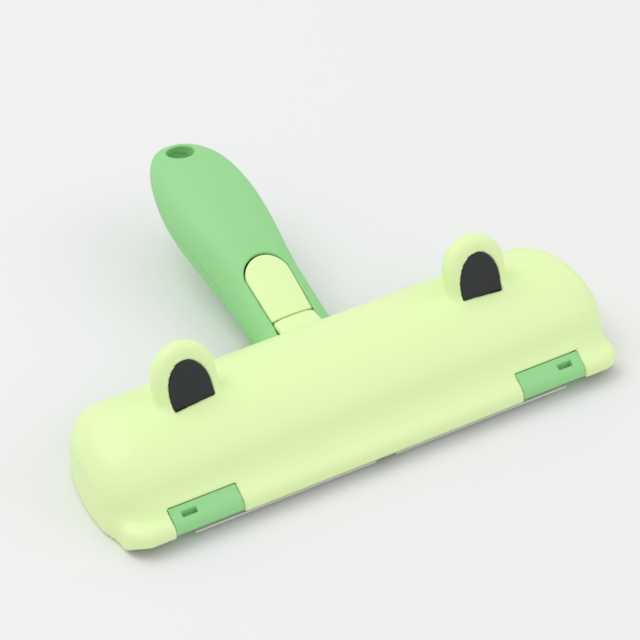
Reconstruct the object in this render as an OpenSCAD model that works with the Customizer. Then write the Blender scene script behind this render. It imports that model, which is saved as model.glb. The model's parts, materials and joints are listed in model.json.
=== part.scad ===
// Pet hair removal brush: a rocking pile drum under a hinged lid with two round ears,
// on a frame with a tilted handle and a push button that releases the lid.
// The origin lies on the standing surface, below the centre line of the lid's dome.
// X runs along the head, -Y is the front with the hinge tabs, +Y the handle, +Z up.

/* [Head] */
// Width of the head over the end walls of the lid
head_w = 191; // [178:1:206]
// Radius of the dome of the lid
dome_r = 26.4; // [26:0.1:27]
// Height of the centre line of the dome
dome_z = 5.5; // [5:0.1:6]
// Rounding between the dome and its end walls
dome_round = 7.5; // [6:0.5:9]
// Wall of the lid
lid_wall = 1.8; // [1.4:0.1:2.2]
// Radius of the front corners seen from above
front_corner = 9; // [7:0.5:12]
// Radius of the rear corners seen from above
rear_corner = 16; // [13:1:18]
// Gap under the end walls of the lid
lid_lift = 0.4; // [0.3:0.1:0.8]

/* [Lip] */
// Distance from the centre line of the dome to the front of the lip
lip_reach = 34.3; // [34:0.1:35]
// Height of the top face of the lip
lip_top = 10; // [9.8:0.1:10.4]
// Height of the lower edge of the lip
lip_low = 5.5; // [5.2:0.1:5.8]
// Rounding along the front of the lip
lip_round = 3.6; // [3:0.1:4]
// Concave rounding between the lip and the dome
lip_fillet = 4; // [3:0.5:5]

/* [Ears] */
// Distance from the end of the head to the middle of each ear
ear_side = 38.8; // [34:0.2:46]
// Width of an ear
ear_w = 23.4; // [22:0.2:25]
// Thickness of an ear from front to back
ear_t = 8; // [7.6:0.2:9.6]
// Distance of the middle of an ear behind the centre line of the dome
ear_y = 4.2; // [3.6:0.2:5]
// Height of the top of the ears
ear_top = 49.3; // [49:0.1:51]
// Backward lean of the ears
ear_lean = 18; // [15:1:20]
// Rounding around the edge of an ear
ear_round = 3.7; // [3:0.1:3.8]
// Width of an eye
eye_w = 15.7; // [13:0.1:16]
// Height of an eye
eye_h = 16; // [14:0.5:16.5]
// Distance of the middle of an eye below the middle of the arch of its ear
eye_drop = 1; // [0:0.2:1.2]
// Depth of the recess that an eye is glued in
eye_recess = 0.8; // [0.6:0.1:1.1]
// Thickness of an eye
eye_t = 1; // [0.8:0.1:1.4]

/* [Hinge] */
// Distance from the end of the head to the outer end of a hinge tab
tab_side = 15.8; // [14:0.2:24]
// Length of a hinge tab
tab_w = 25; // [20:0.5:26]
// Distance from the centre line of the dome to the hinge axis
hinge_reach = 31.3; // [31.1:0.1:31.5]
// Height of the hinge axis
hinge_z = 7.3; // [7.2:0.1:7.5]
// Radius of the recess in the lid around a tab
tab_sweep = 6.2; // [6:0.1:6.4]
// Radius of a hinge pin
hinge_pin_r = 1; // [0.8:0.1:1.1]
// Length of pin that stands out of the tab at each end
hinge_pin_reach = 2.6; // [2:0.1:3]
// Radius of the knuckles of the lid
knuckle_r = 2.2; // [2:0.1:2.3]
// Length of the slot in a tab
slot_w = 5.6; // [4:0.2:8]
// Width of the slot in a tab
slot_d = 1.9; // [1.4:0.1:2.2]

/* [Drum] */
// Radius over the pile of the drum
drum_r = 14; // [13.4:0.1:14.4]
// Distance from the end of the head to the end of the drum
drum_side = 17.5; // [17:0.5:26]
// Thickness of the pile
pile_t = 1.5; // [1:0.1:2]
// Gap under the pile at rest
drum_lift = 0.3; // [0.2:0.1:0.6]
// Wall of the drum core
core_wall = 1.8; // [1.4:0.1:2.4]
// Angle covered by each pile strip
pile_arc = 66; // [50:1:72]
// Angle from the lowest line to the edge of a pile strip
pile_gap = 4; // [2:1:10]
// Thickness of an end cap of the drum
cap_t = 2.4; // [2:0.2:3]
// Radius of the axle stubs
axle_r = 2.5; // [2:0.1:3]

/* [Base frame] */
// Height of the rim around the drum opening that the brush stands on
rim_h = 2; // [1.8:0.1:2.1]
// Width of that rim
rim_w = 3; // [2.4:0.2:3.6]
// Thickness of the bottom plate
plate_t = 2; // [1.6:0.1:2.4]
// Half of the width of the drum opening
mouth_half = 15.6; // [15.2:0.2:17]
// Thickness of the cheeks that carry the drum
cheek_t = 4; // [3.4:0.2:5]
// Height of the cheeks
cheek_top = 17.5; // [17.3:0.1:18.5]
// Half of the length of a cheek
cheek_half = 15; // [13:0.5:16]
// Height of the bearing caps above the cheeks
bearing_cap_h = 3; // [2.4:0.2:3.6]
// Height of the rear wall behind the lid
rear_wall_top = 13; // [12:0.1:13.4]
// Thickness of the rear wall
rear_wall_t = 2.4; // [2:0.1:2.8]
// Depth of the front beam
beam_d = 5; // [4.6:0.1:5.6]
// Height of the top of the front beam
beam_top = 7.4; // [6.6:0.1:7.6]
// Thickness of the rubber wiper strips
strip_t = 0.6; // [0.5:0.1:0.8]
// Distance from the end of the head to the outer end of a wiper strip
strip_side = 22.85; // [22:0.05:30]
// Gap between two wiper strips at the middle of the head
strip_gap = 7.7; // [4:0.1:12]
// Distance from the centre line of the dome to the free edge of the front strips
strip_reach = 33.4; // [32:0.1:33.8]
// Distance from the rim to a rear strip
rear_strip_gap = 2.2; // [1.8:0.2:3]
// How far the rear strips reach beyond the rear wall
rear_strip_reach = 2.5; // [1:0.1:4]

/* [Handle] */
// Length of the handle along its centre line
handle_l = 97.8; // [94:0.2:106]
// Upward tilt of the handle
handle_tilt = 15; // [14.5:0.1:15.5]
// Height of the centre line of the handle at the rear wall
handle_z = 10.2; // [10:0.1:10.4]
// Half width of the neck of the handle
neck_half = 14.5; // [14.2:0.1:15.4]
// Half width of the palm of the handle
palm_half = 17.5; // [16.5:0.1:20]
// Height of the upper half of the handle at its root
root_thick = 9; // [8.8:0.1:9.3]
// Height of the upper half of the handle in the palm
palm_thick = 12; // [11.8:0.1:12.6]
// Depth of the lower half of the handle at its root
root_under = 6.9; // [6.6:0.1:7.2]
// Depth of the lower half of the handle in the palm
palm_under = 15; // [13:0.1:15.4]
// How far the end of the handle bends down
handle_droop = 4.7; // [3:0.1:5.5]
// Wall of the two handle shells
handle_wall = 2; // [1.6:0.1:2.2]
// Radius of the hole for hanging
hang_r = 5; // [4:0.2:5.4]
// Distance from the middle of the hang hole to the end of the handle
hang_back = 9.2; // [8.8:0.2:11]

/* [Release button] */
// Distance from the rear wall to the front edge of the button
button_back = 1.1; // [0.9:0.1:1.4]
// Height of the front edge of the button
button_z = 20.3; // [20:0.1:20.5]
// Upward tilt of the face of the button
button_tilt = 20.2; // [19.6:0.1:20.8]
// Length of the straight part of the button
button_l = 17.4; // [16.6:0.2:18.6]
// Half width at the front edge
button_front_half = 8; // [7.6:0.1:8.1]
// Half width at the round end
button_half = 8.4; // [8.2:0.1:8.7]
// Radius of the crowned face across the button
button_crown = 34; // [28:1:50]
// Depth of the side walls of the button
button_depth = 4.2; // [3.6:0.1:4.6]
// Wall of the button
button_wall = 1.4; // [1.1:0.1:1.6]
// Depth of the pivot pin below the face of the button
pivot_depth = 7; // [6.8:0.1:7.3]
// Distance from the front edge to the pivot pin
pivot_back = 5; // [4.6:0.1:6]
// Radius of the pivot pin
pivot_r = 1; // [0.8:0.1:1.2]
// Radius of the coil of the return spring
spring_r = 2.6; // [2.2:0.1:3]
// Radius of the spring wire
spring_wire = 0.3; // [0.2:0.05:0.4]
// Number of turns of the return spring
spring_turns = 6; // [4:1:8]

/* [Screws] */
// Radius of the shank of a bearing cap screw
cap_screw_r = 0.9; // [0.7:0.1:1.1]
// Distance of a bearing cap screw from the axle
cap_screw_y = 7; // [6.2:0.1:7.6]
// Depth of the screw holes in the cheeks
cap_screw_hole = 8; // [6:0.5:9]
// Half of the length of a bearing cap
cap_half = 10; // [9.6:0.1:12]
// Radius of the shank of a handle or neck screw
handle_screw_r = 1.4; // [1.2:0.1:1.6]
// Depth of the screw heads of the handle below its parting plane
handle_screw_depth = 9; // [7:0.5:10]
// Distance of the neck screws from the middle of the head
neck_screw_x = 9; // [8.6:0.1:9.4]
// Height of the neck screws
neck_screw_z = 8; // [7.8:0.1:8.2]

/* [Fits] */
// Gap around the moving covers
cover_gap = 0.35; // [0.3:0.05:0.45]
// Radial clearance of a pin or axle that turns
run_gap = 0.05; // [0.03:0.01:0.08]
// Gap between pieces that are pressed or glued together
seat_gap = 0.04; // [0.02:0.01:0.06]
// Gap between the round end of the button and its pocket
pocket_end_gap = 0.8; // [0.7:0.1:1.2]

/* [Hidden] */
$fn = 64;
LIME = [0.88, 0.97, 0.71];
GREEN = [0.6, 0.85, 0.56];
BLACK = [0.2, 0.22, 0.22];
GREY = [0.74, 0.76, 0.72];
PILE = [0.45, 0.47, 0.5];
STEEL = [0.75, 0.76, 0.78];
WHITE = [0.93, 0.94, 0.92];

long = 400;
half_w = head_w / 2;
ear_x = half_w - ear_side;
tab_x = half_w - tab_side - tab_w;
drum_w = head_w - 2 * drum_side;
strip_w = half_w - strip_side - strip_gap / 2;
hinge_y = -hinge_reach;
drum_z = drum_r + drum_lift;
plate_top = rim_h + plate_t;
core_r = drum_r - pile_t;
// Height above the axle of the flat top of the drum core
core_flat = 2;
// Height of the lower edge of the lid's rear wall, and of its notch over the handle
lid_rear_low = 8;
notch_low = 14;
notch_half = 19.5;
notch_side = half_w - tab_side + cover_gap;
rear_in = dome_r + 0.4;
rear_out = rear_in + rear_wall_t;
button_y = rear_out + button_back;
// Start of the cuts and the strip of plate under the lid's rear wall
pass_y = dome_r - 6.4;
// Circles about the hinge axis that edges of the lid sweep as it opens
sweep_gap = 0.5;
strip_sweep_gap = 0.3;
lip_sweep = norm([lip_reach - hinge_reach, hinge_z - lip_low]);
skirt_sweep = norm([lip_reach - hinge_reach, hinge_z - lid_lift]);
dome_y_at_notch = sqrt(pow(dome_r, 2) - pow(notch_low - dome_z, 2));
rear_sweep = norm([dome_y_at_notch + hinge_reach, notch_low - hinge_z]);
beam_front = hinge_y + lip_sweep + sweep_gap;
strip_top = hinge_z - lip_sweep - strip_sweep_gap;
plate_front = hinge_y + skirt_sweep + sweep_gap;
beam_half = half_w - tab_side + 3.3;
cheek_x = drum_w / 2 + cap_t + 0.5;
// Handle stations measured along its centre line from the rear wall
root_y = rear_out - 1.2;
root_s = -7;
neck_s = 20.6;
end_len = 37;
thick_s = 48;
under_s = 60;
droop_s = 76;
hang_s = handle_l - hang_back;
hang_wall = 1.8;
screw_s = [46, hang_s - hang_r - 12];
// Stations of the hollow part of the handle, then of its solid end around the hang hole
hollow_n = 14;
solid_n = 8;
arc_n = 16;
shell_end = hang_s - hang_r - hang_wall;
stations = concat(
    [for (i = [0 : hollow_n]) root_s + (shell_end - root_s) * pow(i / hollow_n, 1.3)],
    [for (i = [1 : solid_n]) shell_end + (handle_l - 0.05 - shell_end) * sin(90 * i / solid_n)]);
neck_boss_l = 6.4;
screw_head_t = 1.6;
// Button pivot and spring, measured along the button from its front edge
spring_u = 18;
spring_len = 9;
post_gap = 0.9;
eye_y = -ear_t / 2 + eye_recess;
// Pivot pin of the button in the frame of the handle
pivot_wy = button_y - root_y + pivot_back * cos(button_tilt) + pivot_depth * sin(button_tilt);
pivot_wz = button_z - handle_z + pivot_back * sin(button_tilt) - pivot_depth * cos(button_tilt);
pivot_s = pivot_wy * cos(handle_tilt) + pivot_wz * sin(handle_tilt);
pivot_n = pivot_wz * cos(handle_tilt) - pivot_wy * sin(handle_tilt);
// Depth of the middle of the lower shell's wall under the face of the button, at the spring
spring_wy = button_y - root_y + spring_u * cos(button_tilt);
spring_wz = button_z - handle_z + spring_u * sin(button_tilt);
spring_n = spring_wz * cos(handle_tilt) - spring_wy * sin(handle_tilt);
spring_floor = spring_n + under_thick(spring_u + 3) - handle_wall / 2;

function smooth(q) = let (c = min(1, max(0, q))) c * c * (3 - 2 * c);
function flare(s) = s < 4 ? 2.6 * pow((4 - s) / 11, 1.5) : 0;
function end_q(s, len) = max(0, (s - (handle_l - len)) / len);
// Height of the parting plane over the straight centre line of the handle
function droop(s) = -handle_droop * pow(max(0, (s - droop_s) / (handle_l - droop_s)), 2);
// Swells from 0 to 1 between the root and a station
function swell(s, s1) = sin(90 * min(1, max(0, s / s1)));
// Falls from 1 to 0 over the last length of the handle
function closing(s, len, p) = sqrt(max(0, 1 - pow(end_q(s, len), p)));
function handle_half(s) = (neck_half + (palm_half - neck_half)
    * smooth((s - neck_s) / (handle_l - end_len - neck_s)) + flare(s)) * closing(s, end_len, 2.1);
function upper_thick(s) = (root_thick + (palm_thick - root_thick) * swell(s, thick_s))
    * closing(s, handle_l - thick_s, 1.5);
function under_thick(s) = (root_under + (palm_under - root_under) * swell(s, under_s))
    * closing(s, handle_l - under_s, 2);
function handle_thick(up, s) = up > 0 ? upper_thick(s) : under_thick(s);
function oval(v) = sign(v) * pow(abs(v), 0.87);
// Depth of the middle of the lower wall at a station and a distance from the centre line
function shell_depth(s, x) =
    under_thick(s) * pow(1 - pow(x / handle_half(s), 2.3), 0.435) - handle_wall / 2;
// Ring of the upper (up = 1) or lower half (up = -1), turned so that its flat side lies below
function half_ring(up, s, inset) = [for (k = [0 : arc_n]) let (a = 180 * k / arc_n)
    [(handle_half(s) - inset) * oval(cos(a)), s,
    up * droop(s) + (handle_thick(up, s) - inset) * oval(sin(a))]];

// Extrudes a drawing of (Y, Z) along X
module along_x(x0, x1) {
    translate([x0, 0, 0]) rotate([90, 0, 90]) linear_extrude(x1 - x0) children();
}

module box(x0, x1, y0, y1, z0, z1) {
    translate([x0, y0, z0]) cube([x1 - x0, y1 - y0, z1 - z0]);
}

// Shows a child on the left and on the right
module both_sides() {
    children();
    mirror([1, 0, 0]) children();
}

// Outline seen from above, with round corners in front and at the rear
module plan(hx, y0, y1, rf, rr) {
    ym = (y0 + y1) / 2;
    translate([-hx + rf, y0]) square([2 * (hx - rf), ym - y0]);
    translate([-hx, y0 + rf]) square([2 * hx, y1 - y0 - rf - rr]);
    translate([-hx + rr, ym]) square([2 * (hx - rr), y1 - ym]);
    for (side = [-1, 1]) {
        translate([side * (hx - rf), y0 + rf]) circle(rf);
        translate([side * (hx - rr), y1 - rr]) circle(rr);
    }
}

// Barrel of the dome with rounded ends, made smaller all round by the inset
module barrel(inset) {
    cr = dome_r - dome_round;
    cx = half_w - dome_round;
    r = dome_round - inset;
    translate([0, 0, dome_z]) rotate([0, 90, 0]) rotate_extrude() {
        translate([0, -cx - r]) square([cr, 2 * (cx + r)]);
        translate([0, -cx]) square([cr + r, 2 * cx]);
        for (side = [-1, 1]) translate([cr, side * cx]) intersection() {
            circle(r);
            translate([0, -r]) square([r, 2 * r]);
        }
    }
}

// Slab of the lip with its top edge rounded along the front and round the corners
module lip_slab(inset) {
    r = lip_round - inset;
    ex = half_w - lip_round;
    ey = -lip_reach + lip_round;
    back = -8;
    cx = half_w - front_corner;
    cy = -lip_reach + front_corner;
    translate([0, 0, -1]) linear_extrude(lip_top - lip_round + 1)
        plan(half_w - inset, -lip_reach + inset, back, front_corner - inset, 1);
    translate([0, 0, -1]) linear_extrude(lip_top - inset + 1)
        plan(ex, ey, back, front_corner - lip_round, 1);
    translate([0, ey, lip_top - lip_round]) rotate([0, 90, 0])
        cylinder(r = r, h = 2 * cx, center = true);
    both_sides() {
        translate([ex, cy, lip_top - lip_round]) rotate([-90, 0, 0])
            cylinder(r = r, h = back - cy);
        translate([cx, cy, lip_top - lip_round]) rotate_extrude()
            translate([front_corner - lip_round, 0]) circle(r);
    }
}

// Concave rounding between the foot of the dome and the lip
module lip_blend() {
    cz = lip_top + lip_fillet - dome_z;
    cy = -sqrt(pow(dome_r + lip_fillet, 2) - pow(cz, 2));
    cx = half_w - dome_round;
    along_x(-cx, cx) difference() {
        polygon([[0, dome_z], [cy, dome_z + cz], [cy, lip_top - 1]]);
        translate([cy, dome_z + cz]) circle(lip_fillet);
    }
}

module lid_form(inset, floor_z) {
    intersection() {
        union() {
            barrel(inset);
            lip_slab(inset);
            translate([0, 0, -1]) linear_extrude(dome_z + 1)
                plan(half_w - inset, -dome_r, dome_r - inset, 1, rear_corner - inset);
        }
        translate([0, 0, floor_z]) linear_extrude(dome_z + dome_r + 2)
            plan(half_w, -lip_reach, dome_r, front_corner, rear_corner);
    }
}

// Places a child in the frame of an ear: x across, z up along the lean
module in_ear(side) {
    arch_z = ear_top - ear_w / 2 * cos(ear_lean);
    translate([side * ear_x, ear_y, arch_z]) rotate([-ear_lean, 0, 0]) children();
}

module ear_form(inset) {
    r = ear_round - inset;
    hw = ear_w / 2 - ear_round;
    ht = ear_t / 2 - ear_round;
    rotate([90, 0, 0]) rotate_extrude() {
        translate([0, -ht - r]) square([hw, 2 * (ht + r)]);
        translate([0, -ht]) square([hw + r, 2 * ht]);
        for (side = [-1, 1]) translate([hw, side * ht]) intersection() {
            circle(r);
            translate([0, -r]) square([r, 2 * r]);
        }
    }
    translate([0, 0, -ear_w / 2 - 3]) linear_extrude(ear_w / 2 + 3) {
        square([2 * (hw + r), 2 * ht], center = true);
        square([2 * hw, 2 * (ht + r)], center = true);
        for (sx = [-1, 1], sy = [-1, 1]) translate([sx * hw, sy * ht]) circle(r);
    }
}

// Arched outline of an eye with a flat lower edge
module eye_outline(gap) {
    rise = eye_h * 0.29;
    foot = -eye_drop - eye_h / 2;
    low = foot + gap;
    arch = [for (i = [0 : 24]) let (a = 180 * i / 24)
        [(eye_w / 2 - gap) * cos(a), foot + rise + (eye_h - rise - gap) * sin(a)]];
    polygon(concat([[eye_w / 2 - gap, low]], arch, [[-eye_w / 2 + gap, low]]));
}

module eye_solid(side, y0, y1, gap) {
    in_ear(side) translate([0, y1, 0]) rotate([90, 0, 0])
        linear_extrude(y1 - y0) eye_outline(gap);
}

module eye(side) {
    color(BLACK) eye_solid(side, eye_y - eye_t, eye_y - 0.01, 0.1);
}

// Places a child on the hinge axis, with the cylinder's length along X
module on_hinge(x0, r, h) {
    translate([x0, hinge_y, hinge_z]) rotate([0, 90, 0]) cylinder(r = r, h = h);
}

module knuckles() {
    out_x = tab_x + tab_w + cover_gap;
    in_x = tab_x - cover_gap - hinge_pin_reach - 1;
    both_sides() {
        on_hinge(in_x, knuckle_r, hinge_pin_reach + 1);
        on_hinge(out_x, knuckle_r, hinge_pin_reach + 1);
    }
}

// Tongue at the rear of the lid, with the rib that the button holds
module tongue() {
    end_y = button_y - cover_gap;
    start_y = dome_r - 5.4;
    top_z = button_z - 0.1;
    intersection() {
        translate([0, 0, top_z - 3]) linear_extrude(3.2) polygon([
            [-button_front_half - 3.4, start_y], [-button_front_half - 1, start_y + 2.5],
            [-button_front_half, end_y], [button_front_half, end_y],
            [button_front_half + 1, start_y + 2.5], [button_front_half + 3.4, start_y]]);
        translate([0, start_y - 1, top_z - button_crown]) rotate([-90, 0, 0])
            cylinder(r = button_crown, h = 20, $fn = 180);
    }
    box(-5, 5, end_y - 2, end_y - 0.6, top_z - 5.2, top_z - 2);
}

module lid() {
    pin_room = hinge_pin_reach + 0.2;
    color(LIME) difference() {
        union() {
            lid_shell();
            knuckles();
            tongue();
        }
        both_sides() on_hinge(tab_x - pin_room, hinge_pin_r + run_gap, tab_w + 2 * pin_room);
    }
}

// Moulded shell of the lid with the ears, cut free of the base
module lid_shell() {
    difference() {
        union() {
            lid_form(0, lid_lift);
            lip_blend();
            for (side = [-1, 1]) in_ear(side) ear_form(0);
        }
        lid_form(lid_wall, -1);
        for (side = [-1, 1]) {
            in_ear(side) ear_form(lid_wall + 0.2);
            eye_solid(side, -ear_t, eye_y, 0);
        }
        box(-long, long, -long, long, -long, lid_lift);
        front_cut();
        box(-notch_side, notch_side, pass_y, long, -1, lid_rear_low);
        box(-notch_half, notch_half, pass_y, long, -1, notch_low);
        both_sides() on_hinge(tab_x - cover_gap, tab_sweep, tab_w + 2 * cover_gap);
    }
}

// Room under the lip, which ends in slopes down to the front corners
module front_cut() {
    x0 = half_w - 11.5;
    x1 = half_w - 3.5;
    translate([0, -20, 0]) rotate([90, 0, 0]) linear_extrude(long) polygon([
        [-x1, -1], [-x1, lid_lift], [-x0, lip_low], [x0, lip_low], [x1, lid_lift], [x1, -1]]);
}

// Section of a hinge tab: it follows the lip, kept inside the sweep of its recess
module tab_section() {
    gap = 0.25;
    top = lip_top - gap;
    front = -lip_reach + gap;
    intersection() {
        translate([hinge_y, hinge_z]) circle(tab_sweep - cover_gap);
        translate([front, lip_low]) square([lip_reach, top - lip_low]);
        union() {
            translate([front + lip_round, lip_low]) square([lip_reach, top - lip_low]);
            translate([front, lip_low]) square([lip_reach, top - lip_low - lip_round]);
            translate([front + lip_round, top - lip_round]) circle(lip_round);
        }
    }
}

module hinge_tab() {
    slot_x = tab_x + tab_w - 3.7 - slot_w;
    difference() {
        along_x(tab_x, tab_x + tab_w) tab_section();
        on_hinge(tab_x - 1, hinge_pin_r + seat_gap, tab_w + 2);
        box(slot_x, slot_x + slot_w, hinge_y - 0.1, hinge_y - 0.1 + slot_d, lip_top - 1.3, lip_top);
    }
}

module hinge_pin() {
    color(STEEL) on_hinge(tab_x - hinge_pin_reach, hinge_pin_r, tab_w + 2 * hinge_pin_reach);
}

// Places a child in the frame of the handle: y along its centre line, z its upper side
module on_handle() {
    translate([0, root_y, handle_z]) rotate([handle_tilt, 0, 0]) children();
}

// Half of the handle in its own frame: a shell that ends in a solid part
module handle_half_body(up) {
    m = arc_n;
    row = m + 1;
    last = len(stations) - 1;
    first_in = row * len(stations);
    turn = hollow_n * row;
    points = concat([for (s = stations) each half_ring(up, s, 0)],
        [for (i = [0 : hollow_n]) each half_ring(up, stations[i], handle_wall)]);
    skin = [for (i = [0 : last - 1], k = [0 : m - 1]) let (a = i * row + k)
        [a, a + 1, a + row + 1, a + row]];
    lining = [for (i = [0 : hollow_n - 1], k = [0 : m - 1]) let (a = first_in + i * row + k)
        [a, a + row, a + row + 1, a + 1]];
    rims = [for (i = [0 : hollow_n - 1]) let (a = i * row, b = first_in + a) each [
        [a, a + row, b + row, b],
        [a + m, b + m, b + row + m, a + row + m]]];
    flat = [for (i = [hollow_n + 1 : last - 1]) let (a = i * row) [a + m, a, a + row, a + row + m]];
    step = [[turn + row, turn + row + m, turn + m, first_in + turn + m, first_in + turn, turn]];
    stop = [[for (k = [m : -1 : 0]) first_in + turn + k]];
    mouth = [for (k = [0 : m - 1]) [k, first_in + k, first_in + k + 1, k + 1]];
    tip = [[for (k = [0 : m]) last * row + k]];
    polyhedron(points, concat(skin, lining, rims, flat, step, stop, mouth, tip), convexity = 6);
}

// Column at a station of the handle between two heights over its parting plane
module handle_column(s, r, z0, z1) {
    on_handle() translate([0, s, z0]) cylinder(r = r, h = z1 - z0);
}

// Places a child in the frame of the button: y along its face, z out of its face
module on_button() {
    translate([0, button_y, button_z]) rotate([button_tilt, 0, 0]) children();
}

module button_outline(gap, end_gap) {
    f = button_front_half + gap;
    e = button_half + gap;
    translate([0, button_l + end_gap - gap]) circle(e);
    polygon([[-f, 0], [f, 0], [e, button_l + end_gap - gap], [-e, button_l + end_gap - gap]]);
}

module base_frame() {
    mouth_x = cheek_x - 0.3;
    color(GREEN) {
        difference() {
            union() {
                // Bottom plate and the strip of it that passes under the lid's rear wall
                translate([0, 0, rim_h]) linear_extrude(plate_t)
                    plan(half_w - lid_wall - 0.5, plate_front, dome_r - lid_wall - 0.5, 6, rear_corner - 2.3);
                box(1 - notch_side, notch_side - 1, pass_y, rear_out - 0.5, rim_h, plate_top);
                // Front beam
                box(-beam_half, beam_half, beam_front, beam_front + beam_d, strip_top, beam_top);
                both_sides() hinge_tab();
                // Cheeks that carry the drum
                both_sides() along_x(cheek_x, cheek_x + cheek_t)
                    translate([-cheek_half, plate_top - 0.5]) square([2 * cheek_half, cheek_top - plate_top + 0.5]);
                // Rim around the drum opening
                box(-mouth_x - rim_w, mouth_x + rim_w, -mouth_half - rim_w, mouth_half + rim_w, 0, rim_h + 0.5);
                rear_wall();
            }
            box(-mouth_x, mouth_x, -mouth_half, mouth_half, -1, plate_top + 1);
            neck_screw_holes(rear_in - 1, rear_out + 1);
            both_sides() {
                along_x(cheek_x - 1, cheek_x + cheek_t + 1) {
                    translate([0, drum_z]) circle(axle_r + run_gap);
                    translate([-axle_r - run_gap, drum_z]) square([2 * (axle_r + run_gap), cheek_top]);
                }
                cap_screw_holes(cap_screw_r + seat_gap, cap_screw_hole);
            }
        }
    }
}

module rear_wall() {
    side = half_w - 7.5;
    gap = rear_in - dome_r;
    intersection() {
        translate([0, 0, rim_h]) linear_extrude(rear_wall_top - rim_h) difference() {
            plan(half_w + gap + rear_wall_t, 0, rear_out, 1, rear_corner + gap + rear_wall_t);
            plan(half_w + gap, -1, rear_in, 1, rear_corner + gap);
        }
        box(-side, side, pass_y - 5, long, 0, long);
    }
}

// Holes of the two screws that hold the handle on the rear wall
module neck_screw_holes(y0, y1) {
    both_sides() translate([neck_screw_x, y0, neck_screw_z]) rotate([-90, 0, 0])
        cylinder(r = handle_screw_r + seat_gap, h = y1 - y0);
}

// Lower shell of the handle, screwed on the rear wall
module handle_base() {
    color(GREEN) difference() {
        union() {
            on_handle() mirror([0, 0, 1]) handle_half_body(-1);
            for (s = screw_s) handle_column(s, handle_screw_r + 2.4, 1 - under_thick(s), 0);
            both_sides() translate([neck_screw_x, rear_in, neck_screw_z]) rotate([-90, 0, 0])
                cylinder(r = handle_screw_r + 1.6, h = rear_wall_t + neck_boss_l);
            button_posts();
        }
        box(-long, long, -long, rear_out + 0.02, -long, long);
        handle_column(hang_s, hang_r, -30, 30);
        for (s = screw_s) {
            handle_column(s, handle_screw_r + seat_gap, -30, 10);
            handle_column(s, handle_screw_r + 1.4, -30, -handle_screw_depth);
        }
        neck_screw_holes(rear_in, rear_out + neck_boss_l - 1);
    }
}

// Posts for the pivot pin and the spring of the button, standing in the lower shell
module button_posts() {
    post_x = button_half + post_gap;
    difference() {
        union() {
            on_handle() for (side = [-1, 1]) {
                translate([side * post_x - 0.8, pivot_s - 2.2, -shell_depth(pivot_s, post_x)])
                    cube([1.6, 4.4, pivot_n + shell_depth(pivot_s, post_x)]);
                translate([side * post_x - 0.8, pivot_s, pivot_n]) rotate([0, 90, 0]) cylinder(r = 2.2, h = 1.6);
            }
            on_button() translate([0, spring_u, -spring_floor])
                cylinder(r = spring_r + 1, h = spring_floor - button_wall - spring_len);
        }
        on_handle() translate([-20, pivot_s, pivot_n]) rotate([0, 90, 0])
            cylinder(r = pivot_r + seat_gap, h = 40);
    }
}

module handle_cover() {
    color(GREEN) difference() {
        union() {
            on_handle() handle_half_body(1);
            for (s = screw_s) handle_column(s, handle_screw_r + 1.6, 0, upper_thick(s) - 1);
        }
        // Room for the rear wall and for the sweep of the lid
        box(-long, long, -long, rear_out + 0.1, -long, rear_wall_top + 0.1);
        translate([0, hinge_y, hinge_z]) rotate([0, 90, 0])
            cylinder(r = rear_sweep + cover_gap, h = long, center = true, $fn = 180);
        // Pocket of the button and notch for the tongue of the lid
        on_button() translate([0, 0, -9]) linear_extrude(30) button_outline(cover_gap, pocket_end_gap);
        tongue_half = button_front_half + cover_gap;
        translate([0, 0, notch_low]) linear_extrude(20) polygon([
            [-tongue_half - 3.4, dome_r - 5], [-tongue_half - 1, dome_r - 2.3], [-tongue_half, button_y + 0.5],
            [tongue_half, button_y + 0.5], [tongue_half + 1, dome_r - 2.3], [tongue_half + 3.4, dome_r - 5]]);
        handle_column(hang_s, hang_r, -30, 30);
        for (s = screw_s) handle_column(s, handle_screw_r + seat_gap, -1, 5.5);
    }
}

module release_button() {
    lug_x = button_front_half - 2.2;
    color(LIME) on_button() difference() {
        union() {
            intersection() {
                translate([0, 0, -button_depth]) linear_extrude(button_depth + 1) button_outline(0, 0);
                translate([0, -5, -button_crown]) rotate([-90, 0, 0]) cylinder(r = button_crown, h = 60, $fn = 180);
                difference() {
                    translate([-20, -1, -button_depth]) cube([40, 60, button_depth + 1]);
                    // Hollow of the button
                    translate([0, button_wall, -button_depth - 1])
                        linear_extrude(button_depth + 1 - button_wall - 1.3) button_outline(-button_wall, 0);
                }
            }
            for (side = [-1, 1]) translate([side * lug_x - 0.8, 0, 0]) {
                translate([0, pivot_back, -pivot_depth]) rotate([0, 90, 0]) cylinder(r = 2.2, h = 1.6);
                translate([0, pivot_back - 2.2, -pivot_depth]) cube([1.6, 4.4, pivot_depth - button_wall - 0.6]);
            }
        }
        translate([-20, pivot_back, -pivot_depth]) rotate([0, 90, 0]) cylinder(r = pivot_r + run_gap, h = 40);
    }
}

module button_pin() {
    reach = button_half + post_gap + 0.8;
    color(STEEL) on_button() translate([-reach, pivot_back, -pivot_depth]) rotate([0, 90, 0])
        cylinder(r = pivot_r, h = 2 * reach);
}

// Compression spring between its post and the underside of the button
module button_spring() {
    steps = spring_turns * 12;
    top = -button_wall - 1.5;
    low = -button_wall - spring_len + spring_wire + 0.02;
    rise = top - spring_wire - low;
    color(STEEL) on_button() {
        rows = [for (i = [0 : steps]) let (a = 30 * i) [for (j = [0 : 5])
            let (r = spring_r + spring_wire * cos(60 * j))
            [r * cos(a), spring_u + r * sin(a), low + rise * i / steps + spring_wire * sin(60 * j)]]];
        points = [for (row = rows) each row];
        walls = [for (i = [0 : steps - 1], j = [0 : 5]) let (a = i * 6 + j, b = i * 6 + (j + 1) % 6)
            [a, b, b + 6, a + 6]];
        polyhedron(points, concat(walls, [[5, 4, 3, 2, 1, 0], [for (j = [0 : 5]) steps * 6 + j]]), convexity = 8);
    }
}

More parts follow.
